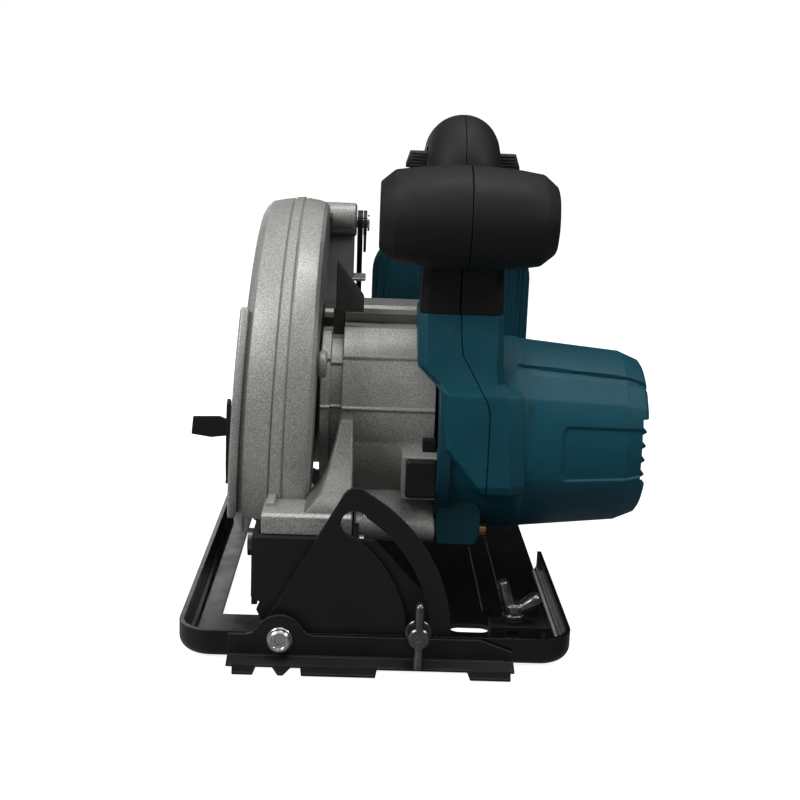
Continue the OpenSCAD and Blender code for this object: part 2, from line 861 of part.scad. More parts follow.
module guard_lever() {
    color("#141416") {
        xslab(-62, -60) polygon([[60, 46], [76, 46], [76, 70.4], [73, 70.4], [67, 67.5], [60, 63]]);
        block([-76.6, -60.1], [67, 75], [65.5, 67.5]);
        block([-76.6, -74.4], [62, 75], [65.5, 108]);
        block([-94, -74.6], [66, 68.2], [88, 99]);
    }
}

// ---- controls ----

module trigger() {
    color("#1a1a1c") block([mid_x - 7, mid_x + 7], [107, 121.5], [196, 210]);
    color("#1a1a1c") block([mid_x - 6.6, mid_x + 6.6], [121, 133], [196, 199.4]);
}

module trigger_spring() {
    color("#9a9a9d") for (i = [0 : 3])
        translate([mid_x, fy(114), 210.7 + 1.55 * i]) rotate_extrude($fn = 32)
            translate([3.4, 0]) circle(0.6, $fn = 16);
}

module lock_off_lever() {
    color("#19191b") block([mid_x - 28.6, mid_x + 28.6], [105, 116], [223, 230.4]);
}

module shaft_lock_button() {
    color("#1d1d1f") {
        block([12, 27.6], [50.2, 54.9], [64, 83]);
        yrod(54.7, 79.3, 2.6, 20.5, stem_z);
    }
}

module depth_lock_lever() {
    color("#1a1a1c") difference() {
        union() {
            xrod(-12.7, -10.7, 7, lock_back, lock_z);
            xslab(-12.5, -10.9) translate([lock_back, lock_z]) rotate(-24) {
                translate([0, -4]) square([34, 8]);
                spot(34, 0, 6);
            }
        }
        xrod(-13, -8, 2.95, lock_back, lock_z);
    }
}

// ---- battery ----

module battery_case() {
    color("#1e1e20") difference() {
        block([mid_x - 37.5, mid_x + 37.5], [180.4, 262], [122, 172]);
        block([mid_x - 34.5, mid_x + 34.5], [184, 258], [125, 169]);
        block([mid_x - 14, mid_x + 14], [256, 263], [150, 166]);
    }
}

module battery_rail() {
    color("#29292b") difference() {
        block([mid_x - 28, mid_x + 28], [184, 256], [172, 175.2]);
        block([mid_x - 20, mid_x + 20], [183, 210], [173, 176]);
    }
}

module battery_cells() {
    color("#4b78a8") for (x = [-24, 0, 24], z = [136.5, 157.5])
        yrod(187, 252, 9.2, mid_x + x, z);
}

module battery_button() {
    color("#b13030") block([mid_x - 13.6, mid_x + 13.6], [256.4, 260.8], [150.4, 165.6]);
}

// ---- drawing ----

base_plate();
front_guide();
bevel_quadrant();
rear_quadrant();
fence_clamp();
bevel_pivot_screw();
rear_pivot_pin();
base_rivets();
fence_wing_bolt();
front_bracket();
rear_bracket();
depth_guide();
depth_pivot_pin();
bevel_wing_bolt();
blade_case();
gear_housing();
gear_cover();
guard_bumper();
spindle_bearings();
motor_bearings();
depth_lock_bolt();
gear_case_screws();
front_housing_left();
front_housing_right();
motor_housing();
motor_end_cap();
stator();
front_grip_left();
front_grip_right();
handle_left();
handle_right();
handle_overmould();
rear_housing_left();
rear_housing_right();
switch_body();
controller_board();
battery_terminal();
housing_screws();
guard_spring();
spindle();
drive_gear();
inner_flange();
blade();
outer_flange();
blade_bolt();
rotor_shaft();
rotor_core();
fan();
pinion();
lower_guard();
guard_lever();
trigger();
trigger_spring();
lock_off_lever();
shaft_lock_button();
depth_lock_lever();
battery_case();
battery_rail();
battery_cells();
battery_button();
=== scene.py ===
import json
import math

import bmesh
import bpy
from mathutils import Matrix, Vector


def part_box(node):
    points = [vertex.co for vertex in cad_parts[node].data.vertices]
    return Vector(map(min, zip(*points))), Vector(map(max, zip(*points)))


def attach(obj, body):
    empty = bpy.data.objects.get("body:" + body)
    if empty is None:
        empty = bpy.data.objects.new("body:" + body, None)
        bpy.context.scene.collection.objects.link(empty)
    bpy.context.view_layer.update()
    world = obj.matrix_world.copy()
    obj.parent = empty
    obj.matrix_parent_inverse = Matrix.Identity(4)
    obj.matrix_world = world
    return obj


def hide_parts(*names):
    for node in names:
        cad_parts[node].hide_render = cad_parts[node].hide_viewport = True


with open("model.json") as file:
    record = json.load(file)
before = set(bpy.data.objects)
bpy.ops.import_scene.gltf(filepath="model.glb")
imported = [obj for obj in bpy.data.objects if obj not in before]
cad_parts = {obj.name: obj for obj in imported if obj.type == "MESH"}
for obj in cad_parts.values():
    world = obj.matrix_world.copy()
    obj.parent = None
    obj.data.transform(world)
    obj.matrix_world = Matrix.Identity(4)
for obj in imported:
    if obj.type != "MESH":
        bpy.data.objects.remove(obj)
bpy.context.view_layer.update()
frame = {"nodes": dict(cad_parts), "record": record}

# Lengths are in millimetres: x towards the motor, back from the base plate's front edge, and z up
# from the sole. at() turns them into metres in the frame. An outline is a list of two of the three.

MM = 0.001
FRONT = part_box("base_plate")[0].y


def at(x, back, z):
    return Vector((x * MM, FRONT + back * MM, z * MM))


def span(node):
    """Lowest and highest x, back and z of a CAD node, in millimetres."""
    lo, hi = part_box(node)
    backs = ((lo.y - FRONT) / MM, (hi.y - FRONT) / MM)
    return [(lo.x / MM, hi.x / MM), backs, (lo.z / MM, hi.z / MM)]


def centre(node):
    return [(lo + hi) / 2 for lo, hi in span(node)]


ARBOR = centre("outer_flange")[1:]
MOTOR = centre("motor_end_cap")[1:]
MID_X = centre("trigger")[0]
GRIP_R = 24.5
GRIP = (span("front_grip_left")[1][0] + GRIP_R, span("front_grip_left")[2][1] - GRIP_R)
PIVOT = centre("depth_pivot_pin")[1:]
LOCK = centre("depth_lock_bolt")[1:]
BEVEL = centre("bevel_pivot_screw")


# ---- camera, lights and stage ----

CAMERA_AT = (-8.3, -560, 247)
CAMERA_YAW, CAMERA_PITCH, CAMERA_ROLL = 1.56, 12.31, 2.23
LENS_MM, SENSOR_MM = 58.5, 36
FLOOR_REACH, FLOOR_DROP = 9.0, 0.0004
LIT_MIDDLE, LIT_DECK = (0, 0, 0.1), (-0.08, 0, 0)


def make_camera():
    yaw, pitch, roll = (math.radians(deg) for deg in (CAMERA_YAW, CAMERA_PITCH, CAMERA_ROLL))
    ahead = Vector((math.sin(yaw) * math.cos(pitch), math.cos(yaw) * math.cos(pitch),
                    -math.sin(pitch)))
    right = Vector((math.cos(yaw), -math.sin(yaw), 0))
    down = ahead.cross(right)
    right_rolled = math.cos(roll) * right - math.sin(roll) * down
    down_rolled = math.sin(roll) * right + math.cos(roll) * down
    data = bpy.data.cameras.new("camera")
    data.lens = LENS_MM
    data.sensor_width = SENSOR_MM
    data.clip_end = 50
    obj = bpy.data.objects.new("camera", data)
    bpy.context.scene.collection.objects.link(obj)
    turn = Matrix((right_rolled, -down_rolled, -ahead)).transposed()
    obj.matrix_world = Matrix.Translation(at(*CAMERA_AT)) @ turn.to_4x4()
    bpy.context.scene.camera = obj


def area_light(name, place, target, size, energy):
    data = bpy.data.lights.new(name, "AREA")
    data.shape = "DISK"
    data.size = size
    data.energy = energy
    obj = bpy.data.objects.new(name, data)
    bpy.context.scene.collection.objects.link(obj)
    obj.location = place
    obj.rotation_euler = (Vector(target) - Vector(place)).to_track_quat("-Z", "Y").to_euler()


def make_world():
    """White to the camera; as light, soft and from above, the front, the left and below."""
    world = bpy.data.worlds.new("studio")
    bpy.context.scene.world = world
    world.use_nodes = True
    tree = world.node_tree
    tree.nodes.clear()
    out = tree.nodes.new("ShaderNodeOutputWorld")
    link = tree.links.new
    seen = tree.nodes.new("ShaderNodeBackground")
    seen.inputs["Color"].default_value = (1, 1, 1, 1)
    lit = tree.nodes.new("ShaderNodeBackground")
    split = tree.nodes.new("ShaderNodeSeparateXYZ")
    link(tree.nodes.new("ShaderNodeTexCoord").outputs["Generated"], split.inputs[0])

    def ramp(axis, low, high, start, end):
        made = tree.nodes.new("ShaderNodeMapRange")
        made.inputs["From Min"].default_value = low
        made.inputs["From Max"].default_value = high
        made.inputs["To Min"].default_value = start
        made.inputs["To Max"].default_value = end
        link(split.outputs[axis], made.inputs["Value"])
        return made.outputs[0]

    def add(a, b):
        made = tree.nodes.new("ShaderNodeMath")
        link(a, made.inputs[0])
        link(b, made.inputs[1])
        return made.outputs[0]

    above = ramp("Z", 0.5, 1.0, 0.0, 0.9)
    front = ramp("Y", -0.9, 0.1, 0.15, 0.015)
    left = ramp("X", -1.0, -0.1, 0.3, 0.0)
    under = ramp("Z", -0.5, 0.0, 0.16, 0.0)
    link(add(add(above, front), add(left, under)), lit.inputs["Strength"])
    mix = tree.nodes.new("ShaderNodeMixShader")
    link(tree.nodes.new("ShaderNodeLightPath").outputs["Is Camera Ray"], mix.inputs[0])
    link(lit.outputs[0], mix.inputs[1])
    link(seen.outputs[0], mix.inputs[2])
    link(mix.outputs[0], out.inputs["Surface"])


def make_stage():
    mesh = bpy.data.meshes.new("floor")
    signs = ((-1, -1), (1, -1), (1, 1), (-1, 1))
    corners = [(x * FLOOR_REACH, y * FLOOR_REACH, 0) for x, y in signs]
    mesh.from_pydata(corners, [], [(0, 1, 2, 3)])
    floor = bpy.data.objects.new("floor", mesh)
    bpy.context.scene.collection.objects.link(floor)
    material = bpy.data.materials.new("floor")
    material.use_nodes = True
    shader = material.node_tree.nodes["Principled BSDF"]
    shader.inputs["Base Color"].default_value = (0.5, 0.5, 0.5, 1)
    shader.inputs["Roughness"].default_value = 0.95
    shader.inputs["Emission Color"].default_value = (1, 1, 1, 1)
    shader.inputs["Emission Strength"].default_value = 0.9
    mesh.materials.append(material)
    floor.location.z = -FLOOR_DROP
    floor.visible_diffuse = False
    floor.visible_glossy = False


# ---- materials ----

LOOKS = {}
COAT_ROUGH = 0.12
WORN_MM, ROUND_MM = 0.4, 0.35


def surface_coords(tree, brushed):
    """Object coordinates, squeezed along an axis for a brushed surface."""
    coords = tree.nodes.new("ShaderNodeTexCoord").outputs["Object"]
    if not brushed:
        return coords
    squeeze = tree.nodes.new("ShaderNodeMapping")
    squeeze.inputs["Scale"].default_value = brushed
    tree.links.new(coords, squeeze.inputs["Vector"])
    return squeeze.outputs[0]


def node_tools(tree, coords):
    """Builders for one material: noise of a size, a value spread over a range, a product."""
    nodes, link = tree.nodes, tree.links.new

    def noise(size_mm, detail=2.0):
        made = nodes.new("ShaderNodeTexNoise")
        made.inputs["Scale"].default_value = 1 / (size_mm * MM)
        made.inputs["Detail"].default_value = detail
        link(coords, made.inputs["Vector"])
        return made.outputs["Fac"]

    def spread(value, low, high, edge=0.3):
        made = nodes.new("ShaderNodeMapRange")
        made.inputs["From Min"].default_value = edge
        made.inputs["From Max"].default_value = 1 - edge
        made.inputs["To Min"].default_value = low
        made.inputs["To Max"].default_value = high
        link(value, made.inputs["Value"])
        return made.outputs[0]

    def times(a, b):
        made = nodes.new("ShaderNodeMath")
        made.operation = "MULTIPLY"
        link(a, made.inputs[0])
        link(b, made.inputs[1])
        return made.outputs[0]

    return noise, spread, times


def rounded_normal(tree, radius_mm):
    made = tree.nodes.new("ShaderNodeBevel")
    made.samples = 3
    made.inputs["Radius"].default_value = radius_mm * MM
    return made.outputs[0]


def sharp_edges(tree):
    """1 where the surface turns sharply, 0 where it is flat."""
    nodes, link = tree.nodes, tree.links.new
    wide = rounded_normal(tree, WORN_MM)
    turned_by = nodes.new("ShaderNodeVectorMath")
    turned_by.operation = "DOT_PRODUCT"
    link(wide, turned_by.inputs[0])
    link(nodes.new("ShaderNodeNewGeometry").outputs["Normal"], turned_by.inputs[1])
    edge = nodes.new("ShaderNodeMapRange")
    edge.inputs["From Min"].default_value = 0.99
    edge.inputs["From Max"].default_value = 0.86
    link(turned_by.outputs["Value"], edge.inputs["Value"])
    return edge.outputs[0]


def blend_colour(tree, share, paint, other):
    blend = tree.nodes.new("ShaderNodeMix")
    blend.data_type = "RGBA"
    tree.links.new(share, blend.inputs["Factor"])
    tree.links.new(paint, blend.inputs["A"])
    blend.inputs["B"].default_value = (*other, 1)
    return blend.outputs["Result"]


def look(name, colour, rough, metallic=0.0, tone=0.1, tone_mm=22, grain_mm=0.35, grain_depth=0.012,
         fleck=0.0, fleck_mm=0.8, worn=None, coat=0.0, brushed=None, gloss=0.5):
    """A procedural material: mottled colour, flecks, worn edges, uneven roughness, fine bump."""
    material = bpy.data.materials.new(name)
    material.use_nodes = True
    tree = material.node_tree
    nodes, link = tree.nodes, tree.links.new
    shader = nodes["Principled BSDF"]
    for socket, value in (("Metallic", metallic), ("Coat Weight", coat),
                          ("Specular IOR Level", gloss), ("Coat Roughness", COAT_ROUGH)):
        shader.inputs[socket].default_value = value
    noise, spread, times = node_tools(tree, surface_coords(tree, brushed))
    shade = spread(noise(tone_mm, 3.0), 1 - tone, 1 + tone)
    if fleck:
        shade = times(shade, spread(noise(fleck_mm, 1.0), 1 - fleck, 1 + fleck, 0.36))
    scaled = nodes.new("ShaderNodeVectorMath")
    scaled.operation = "SCALE"
    scaled.inputs[0].default_value = colour
    link(shade, scaled.inputs["Scale"])
    paint = scaled.outputs[0]
    normal = rounded_normal(tree, ROUND_MM)
    if worn:
        share = times(sharp_edges(tree), spread(noise(3.0), 0.25, 1.0, 0.35))
        paint = blend_colour(tree, share, paint, worn)
    link(paint, shader.inputs["Base Color"])
    link(spread(noise(tone_mm * 0.4), rough - 0.05, rough + 0.05), shader.inputs["Roughness"])
    bump = nodes.new("ShaderNodeBump")
    bump.inputs["Strength"].default_value = 1.0
    bump.inputs["Distance"].default_value = grain_depth * MM
    link(noise(grain_mm), bump.inputs["Height"])
    link(normal, bump.inputs["Normal"])
    link(bump.outputs[0], shader.inputs["Normal"])
    LOOKS[name] = material


look("base_black", (0.004, 0.004, 0.0044), 0.2, tone=0.2, grain_mm=2.2, grain_depth=0.01,
     worn=(0.03, 0.03, 0.032), coat=0.1, gloss=0.4)
look("bracket_black", (0.008, 0.008, 0.0085), 0.45, gloss=0.4, tone=0.18, grain_mm=0.5,
     grain_depth=0.012, worn=(0.05, 0.05, 0.052))
look("bright_steel", (0.62, 0.62, 0.63), 0.24, 0.95, tone=0.08, grain_mm=0.25, grain_depth=0.004)
look("gunmetal", (0.17, 0.165, 0.155), 0.26, 0.95, tone=0.25, tone_mm=4, grain_mm=0.6,
     grain_depth=0.01, worn=(0.5, 0.49, 0.47))
look("cast_silver", (0.42, 0.415, 0.395), 0.44, 0.35, tone=0.06, grain_mm=0.7, grain_depth=0.035,
     fleck=0.34, fleck_mm=0.5, worn=(0.5, 0.5, 0.49))
# Darker copy of the cast silver for the leg: painted shade on the leg's front face.
look("cast_leg_painted_shade", (0.17, 0.168, 0.16), 0.44, 0.35, tone=0.06, grain_mm=0.7, grain_depth=0.035,
     fleck=0.34, fleck_mm=0.5, worn=(0.5, 0.5, 0.49))
# Much darker copy of the cast silver: painted shade for the webs and the wall that lie in shadow
# between the case and the gear housing.
look("cast_painted_shade", (0.075, 0.074, 0.07), 0.6, 0.1, tone=0.06, grain_mm=0.7, grain_depth=0.03,
     fleck=0.2, fleck_mm=0.45, gloss=0.3)
# Darker copy of the teal: painted shade for the motor's foot under the motor.
look("teal_painted_shade", (0.003, 0.04, 0.058), 0.55, gloss=0.3, tone=0.07, grain_mm=0.3,
     grain_depth=0.012, worn=(0.01, 0.07, 0.1))
look("guard_metal", (0.4, 0.4, 0.4), 0.35, 0.9, tone=0.1, grain_mm=0.3, grain_depth=0.005,
     brushed=(1, 1, 8))
look("teal", (0.003, 0.075, 0.108), 0.5, gloss=0.3, tone=0.07, grain_mm=0.3, grain_depth=0.012,
     worn=(0.012, 0.11, 0.15))
look("teal_dark", (0.003, 0.055, 0.08), 0.5, gloss=0.35, tone=0.07, grain_mm=0.3, grain_depth=0.012,
     worn=(0.01, 0.08, 0.11))
look("soft_black", (0.009, 0.009, 0.0092), 0.6, gloss=0.35, tone=0.14, grain_mm=0.4,
     grain_depth=0.02)
look("black_plastic", (0.014, 0.014, 0.015), 0.48, tone=0.14, grain_mm=0.35, grain_depth=0.014,
     worn=(0.04, 0.04, 0.042))
look("spring_steel", (0.45, 0.45, 0.45), 0.28, 0.95, grain_mm=0.2, grain_depth=0.003)
look("blade_steel", (0.5, 0.5, 0.5), 0.27, 0.95, tone=0.08, grain_mm=0.5, grain_depth=0.006,
     brushed=(1, 9, 1))
look("gear_steel", (0.34, 0.34, 0.35), 0.33, 0.95, grain_mm=0.3, grain_depth=0.004)
look("bearing_steel", (0.6, 0.6, 0.61), 0.15, 1.0, grain_mm=0.2, grain_depth=0.002)
look("copper", (0.45, 0.2, 0.1), 0.35, 0.85, tone=0.25, tone_mm=3, grain_mm=0.8, grain_depth=0.05,
     brushed=(0.3, 1, 1))
look("brass", (0.5, 0.33, 0.14), 0.28, 0.95, tone=0.15, tone_mm=3, grain_mm=0.3, grain_depth=0.006)
look("board_green", (0.02, 0.12, 0.05), 0.4, tone=0.3, tone_mm=5)
look("bumper_rubber", (0.015, 0.015, 0.015), 0.75, grain_mm=0.5, grain_depth=0.03)
look("battery_black", (0.016, 0.016, 0.017), 0.5, tone=0.12, grain_mm=0.35, grain_depth=0.02,
     worn=(0.045, 0.045, 0.047))
look("cell_blue", (0.05, 0.13, 0.3), 0.3, tone=0.1)
look("latch_red", (0.34, 0.02, 0.018), 0.42, tone=0.1, worn=(0.45, 0.08, 0.07))


# ---- mesh helpers ----


def place_x(u, v, w):
    """Outline in back and z, depth along x."""
    return at(w, u, v)


def place_y(u, v, w):
    """Outline in x and z, depth along back."""
    return at(u, w, v)


def place_z(u, v, w):
    """Outline in x and back, depth along z."""
    return at(u, v, w)


def polar(mid, r, deg):
    turn = math.radians(deg)
    return (mid[0] + r * math.cos(turn), mid[1] + r * math.sin(turn))


def arc(mid, r, start, end, steps):
    return [polar(mid, r, start + (end - start) * i / steps) for i in range(steps + 1)]


def circle(mid, r, steps=64):
    return arc(mid, r, 0, 360 * (steps - 1) / steps, steps - 1)


def loft(bm, rings, closed=False):
    """Skins rings of equal length, with a cap on each end unless the last joins the first."""
    made = [[bm.verts.new(p) for p in ring] for ring in rings]
    count = len(made[0])
    for low, high in zip(made, made[1:] + (made[:1] if closed else [])):
        for i in range(count):
            j = (i + 1) % count
            bm.faces.new((low[i], low[j], high[j], high[i]))
    if not closed:
        bm.faces.new(made[0][::-1])
        bm.faces.new(made[-1])


def prism(bm, outline, place, lo, hi):
    loft(bm, [[place(u, v, w) for u, v in outline] for w in (lo, hi)])


def block(bm, xs, backs, zs):
    (x0, x1), (b0, b1) = xs, backs
    prism(bm, [(x0, b0), (x1, b0), (x1, b1), (x0, b1)], place_z, *zs)


def rounded(us, vs, r, steps=5):
    """Outline of a rectangle with round corners."""
    corners = [(us[1] - r, vs[1] - r, 0), (us[0] + r, vs[1] - r, 90), (us[0] + r, vs[0] + r, 180),
               (us[1] - r, vs[0] + r, 270)]
    return [p for u, v, a in corners for p in arc((u, v), r, a, a + 90, steps)]


def rod(bm, place, mid, r, lo, hi, edge=0.5, steps=64):
    """A round bar with softened ends."""
    rings = [(r - edge, lo), (r, lo + edge), (r, hi - edge), (r - edge, hi)]
    loft(bm, [[place(u, v, w) for u, v in circle(mid, size, steps)] for size, w in rings])


def turned(bm, profile, mid, steps):
    """A closed (radius, x) profile turned about an axis along x."""
    rings = []
    for i in range(steps):
        rings.append([at(x, *polar(mid, r, 360 * i / steps)) for r, x in profile])
    loft(bm, rings, closed=True)


def solid(name, bm):
    """A new object from the mesh being built, with its faces pointing outwards."""
    bmesh.ops.remove_doubles(bm, verts=bm.verts, dist=1e-7)
    bmesh.ops.recalc_face_normals(bm, faces=bm.faces)
    mesh = bpy.data.meshes.new(name)
    bm.to_mesh(mesh)
    bm.free()
    obj = bpy.data.objects.new(name, mesh)
    bpy.context.scene.collection.objects.link(obj)
    return obj


def carve(obj, cutter, operation="DIFFERENCE"):
    """Applies a boolean with a throwaway solid."""
    change = obj.modifiers.new("carve", "BOOLEAN")
    change.operation = operation
    change.object = cutter
    change.solver = "EXACT"
    graph = bpy.context.evaluated_depsgraph_get()
    graph.update()
    mesh = bpy.data.meshes.new_from_object(obj.evaluated_get(graph))
    obj.modifiers.clear()
    obj.data = mesh
    bpy.data.objects.remove(cutter)


def carve_block(obj, xs, backs, zs):
    bm = bmesh.new()
    block(bm, xs, backs, zs)
    carve(obj, solid("cut", bm))


def carve_prism(obj, outline, place, lo, hi, operation="DIFFERENCE"):
    bm = bmesh.new()
    prism(bm, outline, place, lo, hi)
    carve(obj, solid("cut", bm), operation)


def soften(obj, width, segments, angle):
    """Rounds the edges that turn more than the angle."""
    edge = obj.modifiers.new("soft_edge", "BEVEL")
    edge.width = width * MM
    edge.segments = segments
    edge.limit_method = "ANGLE"
    edge.angle_limit = math.radians(angle)
    edge.harden_normals = True


def finish_piece(obj, slot, body, stands_for=(), bevel=0.0, segments=2, angle=30):
    """Material, shading and soft edges; the piece is hung on its body's empty and the CAD nodes it
    stands for are hidden.
    """
    obj.data.materials.clear()
    obj.data.materials.append(LOOKS[slot])
    obj.data.shade_smooth()
    obj.data.set_sharp_from_angle(angle=math.radians(angle))
    if bevel:
        soften(obj, bevel, segments, angle)
    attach(obj, body)
    if stands_for:
        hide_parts(*stands_for)


def piece(name, bm, slot, body, stands_for=(), bevel=0.0, segments=2, angle=30):
    finish_piece(solid(name, bm), slot, body, stands_for, bevel, segments, angle)


# ---- castings ----

CASE_LEFT, CASE_RIGHT, CHAMBER_LEFT = -64.8, -31.0, -62.8
LEAN_HEIGHT, LEAN_REACH, LEAN_ALL, LEAN_LEFT = 190, 31, 0.021, 0.024
FOOT_LEFT, FOOT_RIGHT = -54.2, -12.8


def lean(obj):
    """The case's faces draw outwards towards the sole, as the casting does."""
    for v in obj.data.vertices:
        share = min(max((CASE_RIGHT * MM - v.co.x) / (LEAN_REACH * MM), 0), 1)
        v.co.x -= (LEAN_ALL + LEAN_LEFT * share) * (LEAN_HEIGHT * MM - v.co.z)


def ring_part(bm, r0, r1, start, end, steps, x0, x1):
    """Part of a ring about the arbor, between two radii and two angles."""
    outline = arc(ARBOR, r1, start, end, steps) + arc(ARBOR, r0, end, start, steps)
    prism(bm, outline, place_x, x0, x1)


def make_blade_case():
    """Upper guard: a turned hollow shell, cut off along its lower edge, and its front lip."""
    profile = [(30, CASE_LEFT), (93.5, CASE_LEFT), (97, -64.4), (99.9, -62.9), (102.2, -60.4),
               (103.5, -54), (104, -49.5), (103.1, -48.9), (104.5, -48.2), (104.9, -44),
               (103.7, -43.2), (104.4, -42.4), (103.4, -36), (102.4, -32.8), (100.6, CASE_RIGHT),
               (25.2, CASE_RIGHT), (25.2, -35.5), (99.2, -35.5), (99.2, CHAMBER_LEFT),
               (30, CHAMBER_LEFT)]
    bm = bmesh.new()
    turned(bm, profile, ARBOR, 200)
    case = solid("case_shell", bm)
    keep = [(0, 46), (52, 46), (60, 63.6), (66, 68.4), (96, 84), (176, 84), (245, 133), (245, 220),
            (0, 220)]
    carve_prism(case, keep, place_x, -90, -20, "INTERSECT")
    over_foot = [(0, 40), (0, 53), (38, 53), (70, 70.1), (70, 40)]
    carve_prism(case, over_foot, place_x, -59.4, -20)
    lean(case)
    finish_piece(case, "cast_silver", "head", ["blade_case"], 0.5, 2, 26)
    bm = bmesh.new()
    ring_part(bm, 90, 104.5, 146, 205, 60, -67, -62.9)
    lip = solid("case_front_lip", bm)
    lean(lip)
    finish_piece(lip, "cast_silver", "head", (), 1.5, 3)


def make_case_details():
    """Boss, ribs and a raised arc on the case's motor side, and the rib on its front foot."""
    bm = bmesh.new()
    rod(bm, place_x, (58, 128.5), 6.5, -31.5, -27.4, 0.8)
    block(bm, (-53, -49), (21, 40), (62, 69.6))
    prism(bm, [(88, 152), (92, 152), (92, 176), (88, 176)], place_x, -33, -31.4)
    ring_part(bm, 94.5, 97.5, 60, 82, 24, -31.6, -29.4)
    piece("case_right_details", bm, "cast_silver", "head", (), 0.6)


def make_stop_boss():
    """Boss that the depth guide stops at, the webs under it, and the lock bolt's boss."""
    bm = bmesh.new()
    rod(bm, place_x, (181, 190.2), 8, -35, -16.4, 1)
    block(bm, (-19, -10.4), (160, 184), (156.6, 158.4))
    piece("case_stop_boss", bm, "cast_silver", "head", (), 0.8)
    # The webs are in the darker copy of the cast look: painted shade, as they lie in the case's
    # shadow.
    web = bmesh.new()
    prism(web, [(182, 184), (187, 184), (186, 158), (166, 146), (150, 146)], place_x, -33, -17.4)
    prism(web, [(-24.6, 150), (-24.6, 176.4), (-10.6, 158.4), (-10.6, 150)], place_y, 88, 91.4)
    piece("case_stop_web", web, "cast_painted_shade", "head", (), 0.6)
    lock = bmesh.new()
    rod(lock, place_x, LOCK, 8, -36, -16.4, 1)
    piece("case_lock_boss", lock, "cast_silver", "head", (), 0.4)


def make_leg():
    """Leg from the gear housing down to the depth hinge, swept through level sections."""
    bm = bmesh.new()
    levels = [(104, -20.5, -13.4, 46.5, 62), (95, -22, -13.2, 41, 60), (83, -25, -13, 33, 56),
              (74, -29, -13, 22, 50), (70, -33, -12.8, 14, 45), (66, -36, -12.8, 12, 42)]
    rings = []
    for z, left, right, near, far in levels:
        rings.append([at(left, near, z), at(right, near, z), at(right, far, z), at(left, far, z)])
    loft(bm, rings)
    # The leg is in the darker copy of the cast look: painted shade.
    piece("case_leg", bm, "cast_leg_painted_shade", "head", (), 1.6, 3, 40)


def make_foot():
    """Casting that carries the depth pivot, with its round knuckle."""
    bm = bmesh.new()
    outline = [(9.8, 57.6), (9.8, 66), (11.4, 67.4), (34, 67.4), (40, 64), (39.5, 47), (20.5, 47),
               (20.5, 57)]
    prism(bm, outline, place_x, FOOT_LEFT, FOOT_RIGHT)
    rod(bm, place_x, PIVOT, 9.6, FOOT_LEFT, FOOT_RIGHT, 0.8)
    piece("case_foot", bm, "cast_silver", "head", (), 0.9, 3)


def gear_radius(deg):
    """Outside radius of the gear housing's drum, with the two raised bands that run along it."""
    steps = [(121, 49.4), (141.6, 49.6), (142.4, 50.8), (144, 50.8), (144.8, 49.6), (172.4, 49.6),
             (172.9, 50.4), (174, 50.4), (174.5, 49.3), (235, 48.6)]
    low = steps[0]
    for high in steps[1:]:
        if deg < high[0]:
            share = max(deg - low[0], 0) / (high[0] - low[0])
            return low[1] + (high[1] - low[1]) * share
        low = high
    return low[1]


def drum_outline(inset):
    """The housing seen along x, drawn in by an inset: its stepped top, the drum and the back."""
    mid = (113, 100)
    top = [(150, 134 - inset), (140, 148 - inset), (132, 151.4 - inset),
           (104 + inset, 151.6 - inset)]
    top += [(102 + inset, 150 - inset), (102 + inset, 147.2 - inset), (107 + inset, 146.4 - inset)]
    top += [(107 + inset, 142.2 - inset)]
    ring = [polar(mid, gear_radius(0.5 * half) - inset, 0.5 * half) for half in range(242, 470)]
    back = [(100, 52 + inset), (150, 62 + inset), (172 - inset, 92), (162 - inset, 116)]
    return top + ring + back


def make_gear_housing():
    """The stepped casting between the blade case and the motor."""
    bm = bmesh.new()
    prism(bm, drum_outline(0), place_x, -20, 26.4)
    prism(bm, drum_outline(7.5), place_x, -30.6, -19)
    prism(bm, drum_outline(3), place_x, -30.8, -26)
    rod(bm, place_x, (108, 84), 43, -19.6, 26, 2, 96)
    rod(bm, place_x, ARBOR, 38.4, -41.6, 4, 1.5, 96)
    piece("gear_housing_cast", bm, "cast_silver", "head", ["gear_housing"], 0.7, 2, 24)
    # A dark block that closes the gap behind the narrow drum, in painted shade where the recess
    # lies in deep shadow.
    wall = bmesh.new()
    block(wall, (-31, -19.6), (108, 140), (112, 149))
    piece("gear_back_wall_painted_shade", wall, "cast_painted_shade", "head", (), 0.3)


def make_lock_boss():
    """Tube of the long housing screw, and the pocket that the shaft lock sits in."""
    tube = bmesh.new()
    rod(tube, place_x, (63, 46), 7, -12, 28.4, 0.8)
    prism(tube, [(57.6, 50.5), (67, 40.4), (104, 44), (80, 72)], place_x, -8, 27.6)
    pocket = [(55.4, 62.5), (55.4, 84), (60, 86.5), (77.2, 86.5), (77.2, 62.5)]
    prism(tube, pocket, place_x, 10.6, 28)
    piece("gear_lock_boss", tube, "cast_silver", "head", (), 1.1, 3)
    slot = bmesh.new()
    block(slot, (20.6, 27.2), (59, 66.6), (84.6, 92))
    piece("gear_case_notch", slot, "soft_black", "head", (), 0.4)


# ---- teal shells ----

FLAT_START, FLAT_EDGE, FLAT_END = 131.4, 147.5, 196
MOTOR_PROFILE = [(28, 49.8), (66, 49.8), (68.4, 49.6), (71, 48.8), (121.6, 44), (131.2, 40),
                 (132.2, 38.6), (132.7, 36.8), (132.8, 34)]
CAP_NOTCH = (129.2, 134), (40, 80), (MOTOR[1] - 16.6, MOTOR[1] + 16.6)
FAR_OUT = 160
SEAM = [(37, 175), (37, 151.6), (37.5, 141.4), (38.4, 134.6), (50, 115), (51.8, 109), (51.8, 81),
        (51.4, 50)]


